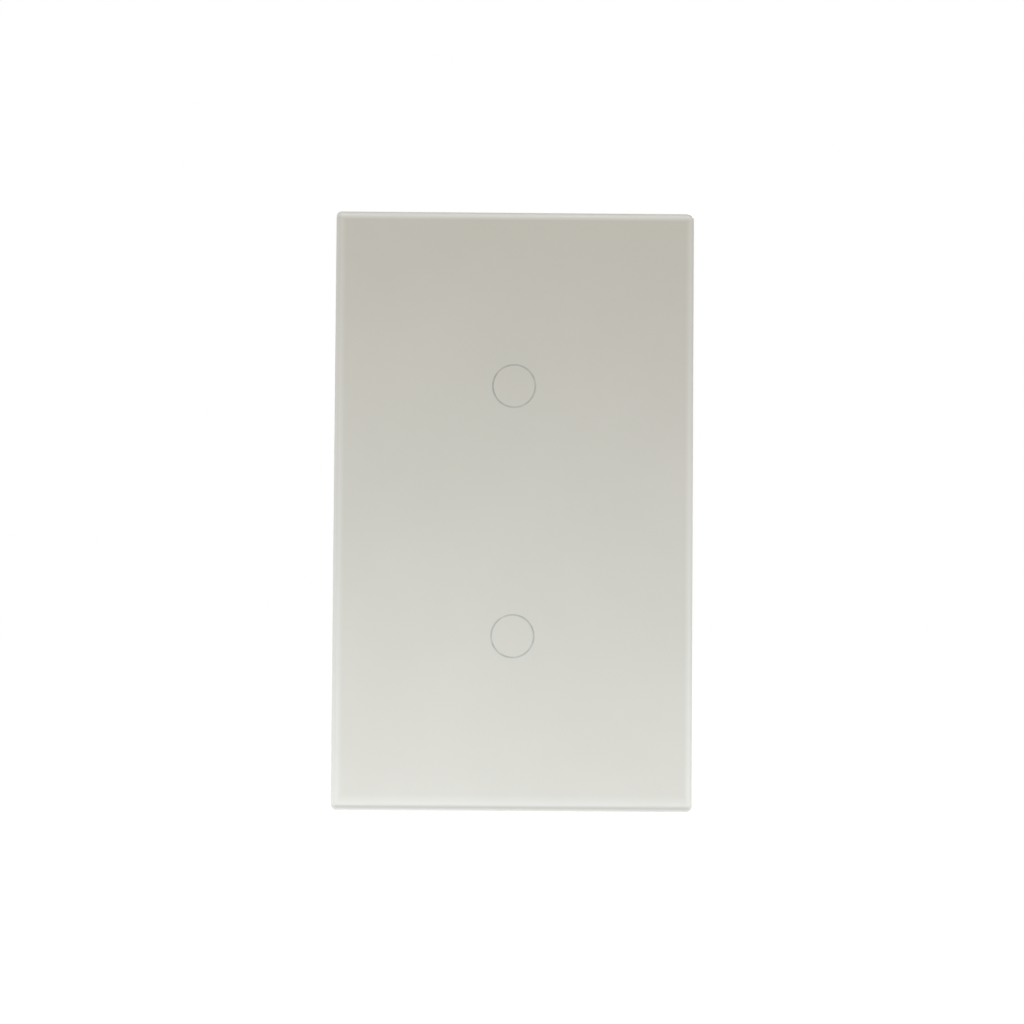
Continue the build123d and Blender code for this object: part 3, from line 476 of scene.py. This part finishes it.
def finishes():
    """Each of the record's material slots with its finish."""
    return {
        "glass": clear_glass(),
        "printed_film": printed_white(),
        "tape": moulded_plastic(
            "foam_tape", white_plastic_colour, roughness=0.8, grain=0.2 * MM, relief=0.05 * MM
        ),
        "frame_plastic": moulded_plastic("frame_white", white_plastic_colour),
        "chassis_plastic": moulded_plastic("chassis_white", white_plastic_colour, roughness=0.5),
        "housing_plastic": moulded_plastic(
            "housing_white", housing_colour, roughness=0.5, grain=0.35 * MM, relief=0.012 * MM
        ),
        "terminal_plastic": moulded_plastic("terminal_green", terminal_colour, roughness=0.4),
        "relay_plastic": moulded_plastic("relay_black", black_colour, roughness=0.25),
        "bobbin_plastic": moulded_plastic("bobbin_natural", bobbin_colour, roughness=0.45),
        "black_plastic": moulded_plastic("moulding_black", black_colour, roughness=0.45),
        "board_laminate": circuit_board("solder_mask"),
        "guide_plastic": milky_plastic("guide_milky", guide_colour),
        "spring_steel": drawn_metal("spring_steel_bright", spring_colour),
        "bracket_steel": plated_metal("zinc_sheet", zinc_colour, roughness=0.34),
        "screw_steel": plated_metal("zinc_screw", zinc_colour, roughness=0.26, spangle=1.5 * MM),
        "terminal_brass": drawn_metal("brass_plated", brass_colour),
        "contact_metal": drawn_metal("tinned_copper", tin_colour),
        "copper_winding": wound_wire("enamelled_copper", copper_colour),
        "relay_iron": plated_metal(
            "relay_iron_plated", iron_colour, roughness=0.36, spangle=2 * MM
        ),
        "ferrite": sintered("ferrite_dark", ferrite_colour),
        "winding_tape": moulded_plastic(
            "tape_yellow", tape_colour, roughness=0.3, grain=0.5 * MM, relief=0.01 * MM
        ),
        "capacitor_sleeve": moulded_plastic("sleeve_dark", sleeve_colour, roughness=0.3),
        "film_box": moulded_plastic("box_grey", film_box_colour, roughness=0.4),
        "varistor_coat": moulded_plastic(
            "epoxy_blue", varistor_colour, roughness=0.22, grain=1 * MM, relief=0.03 * MM
        ),
        "fuse_body": moulded_plastic("fuse_brown", fuse_colour, roughness=0.35),
        "led_body": milky_plastic("led_resin", led_colour),
    }


def dress_nodes(by_slot):
    """Gives each node the finish of its slot in the record."""
    for subpart in frame["record"]["subparts"]:
        mesh = nodes[subpart["node"]].data
        if not mesh.materials:
            mesh.materials.append(None)
        for number in range(len(mesh.materials)):
            mesh.materials[number] = by_slot[subpart["material_slot"]]


# The print, modelled as sheets with true edges

def ring_points(radius, height):
    """A circle on the plate's face, as points in its X and Z."""
    turn = 2 * math.pi / circle_sides
    return [
        (radius * math.cos(turn * step), height + radius * math.sin(turn * step))
        for step in range(circle_sides)
    ]


def rounded_outline(half_width, half_height, radius):
    """A rectangle round the origin with rounded corners, as points in X and Z."""
    points = []
    corners = ((1, 1, 0), (-1, 1, 1), (-1, -1, 2), (1, -1, 3))
    for side, end, quarter in corners:
        for step in range(corner_sides + 1):
            angle = (quarter + step / corner_sides) * math.pi / 2
            points.append((
                side * (half_width - radius) + radius * math.cos(angle),
                end * (half_height - radius) + radius * math.sin(angle),
            ))
    return points


def cut_sheet(name, outlines, front, back):
    """A flat sheet between two depths, from nested outlines: each inside one is a hole."""
    curve = bpy.data.curves.new(name + "_outline", "CURVE")
    curve.dimensions = "2D"
    curve.fill_mode = "BOTH"
    curve.extrude = (back - front) / 2
    for outline in outlines:
        spline = curve.splines.new("POLY")
        spline.points.add(len(outline) - 1)
        for point, (x, z) in zip(spline.points, outline):
            point.co = (x, z, 0, 1)
        spline.use_cyclic_u = True
    drawing = bpy.data.objects.new(name + "_drawing", curve)
    bpy.context.scene.collection.objects.link(drawing)
    bpy.context.view_layer.update()
    mesh = bpy.data.meshes.new_from_object(drawing.evaluated_get(
        bpy.context.evaluated_depsgraph_get()
    ))
    mesh.name = name
    bpy.data.objects.remove(drawing)
    middle = (front + back) / 2
    for vertex in mesh.vertices:
        x, z, depth = vertex.co
        vertex.co = (x, middle - depth, z)
    sheet = bpy.data.objects.new(name, mesh)
    bpy.context.scene.collection.objects.link(sheet)
    return sheet


def touch_places():
    """The height of each gang's touch place, which is that of its light guide."""
    places = {}
    for gang in ("upper", "lower"):
        low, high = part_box(f"light_guide_{gang}")
        places[gang] = ((low + high) / 2).z
    return places


def ring_outlines(height):
    """The outer and the inner edge of a ring's line."""
    return [
        ring_points(ring_radius + ring_line / 2, height),
        ring_points(ring_radius - ring_line / 2, height),
    ]


def make_print(by_slot):
    """The film, which takes the place of its node, and the rings, which lie in its openings."""
    low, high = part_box("backing_film")
    front = low.y - film_bite
    places = touch_places()
    outlines = [rounded_outline(high.x, high.z, film_corner_radius)]
    for height in places.values():
        outlines += ring_outlines(height)
    film = cut_sheet("printed_film", outlines, front, high.y)
    film.data.materials.append(by_slot["printed_film"])
    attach(film, "front_panel")
    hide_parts("backing_film")
    # The rings' grey is painted shade of the light guides behind them
    ink = ring_painted_shade()
    for gang, height in places.items():
        ring = cut_sheet(f"touch_ring_{gang}", ring_outlines(height), front, high.y)
        ring.data.materials.append(ink)
        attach(ring, "front_panel")


# Studio

def seen_rays(tree):
    """1 for the rays of camera, gloss and glass, and 0 for the rest."""
    path = tree.nodes.new("ShaderNodeLightPath")
    seen = path.outputs["Is Camera Ray"]
    for name in ("Is Glossy Ray", "Is Transmission Ray"):
        seen = larger_value(tree, seen, path.outputs[name])
    return seen


def make_world():
    """White where the camera, gloss and glass look, and a plain soft level elsewhere."""
    world = bpy.data.worlds.new("studio")
    bpy.context.scene.world = world
    world.use_nodes = True
    tree = world.node_tree
    tree.nodes.clear()
    soft = tree.nodes.new("ShaderNodeBackground")
    soft.inputs["Color"].default_value = (*world_colour, 1)
    soft.inputs["Strength"].default_value = world_level
    bright = tree.nodes.new("ShaderNodeBackground")
    bright.inputs["Color"].default_value = (*white, 1)
    mix = tree.nodes.new("ShaderNodeMixShader")
    output = tree.nodes.new("ShaderNodeOutputWorld")
    tree.links.new(seen_rays(tree), mix.inputs[0])
    tree.links.new(soft.outputs[0], mix.inputs[1])
    tree.links.new(bright.outputs[0], mix.inputs[2])
    tree.links.new(mix.outputs[0], output.inputs["Surface"])


def make_floor():
    """A pale floor below the part. It looks white to the camera but keeps the shadow.

    Gloss sees the world alone, so that no horizon crosses the glass.
    """
    half = floor_size / 2
    mesh = bpy.data.meshes.new("floor")
    mesh.from_pydata(
        [(-half, -half, 0), (half, -half, 0), (half, half, 0), (-half, half, 0)],
        [],
        [(0, 1, 2, 3)],
    )
    floor = bpy.data.objects.new("floor", mesh)
    floor.location.z = cad_low.z - floor_drop
    floor.visible_glossy = False
    bpy.context.scene.collection.objects.link(floor)
    floor.data.materials.append(floor_paint())


def floor_paint():
    """Matt paint that glows for the rays that are seen."""
    shader = Shader("floor_paint")
    cloud = shader.spread(shader.noise(floor_cloud_size), 0, 1)
    shader.colour(shader.mixed(cloud, *floor_colours))
    shader.set(roughness=0.7, emission_color=(*white, 1))
    shader.principled.inputs["Specular IOR Level"].default_value = 0
    glow = shader.spread(seen_rays(shader.tree), 0, floor_glow, start=0, end=1)
    shader.link(glow, shader.principled.inputs["Emission Strength"])
    return shader.material


def add_lamp(name, place, target, size, watts, colour, in_gloss):
    light = bpy.data.lights.new(name, "AREA")
    light.shape = "RECTANGLE"
    light.size, light.size_y = size
    light.energy = watts
    light.color = colour
    lamp = bpy.data.objects.new(name, light)
    lamp.location = place
    lamp.visible_camera = False
    lamp.visible_glossy = in_gloss
    lamp.rotation_euler = (Vector(target) - Vector(place)).to_track_quat("-Z", "Y").to_euler()
    bpy.context.scene.collection.objects.link(lamp)


def make_camera():
    data = bpy.data.cameras.new("camera")
    data.sensor_fit = "HORIZONTAL"
    data.angle = camera_view_angle
    data.clip_start = camera_near
    data.clip_end = camera_far
    camera = bpy.data.objects.new("camera", data)
    back = Vector((
        math.sin(camera_azimuth) * math.cos(camera_elevation),
        -math.cos(camera_azimuth) * math.cos(camera_elevation),
        math.sin(camera_elevation),
    ))
    camera.location = camera_target + camera_distance * back
    turn = back.to_track_quat("Z", "Y").to_matrix().to_4x4()
    camera.rotation_euler = (turn @ Matrix.Rotation(camera_roll, 4, "Z")).to_euler()
    bpy.context.scene.collection.objects.link(camera)
    bpy.context.scene.camera = camera


by_slot = finishes()
dress_nodes(by_slot)
make_print(by_slot)
make_world()
make_floor()
make_camera()
for name, values in lamps.items():
    add_lamp(name, **values)

bpy.context.scene.view_settings.view_transform = "Standard"
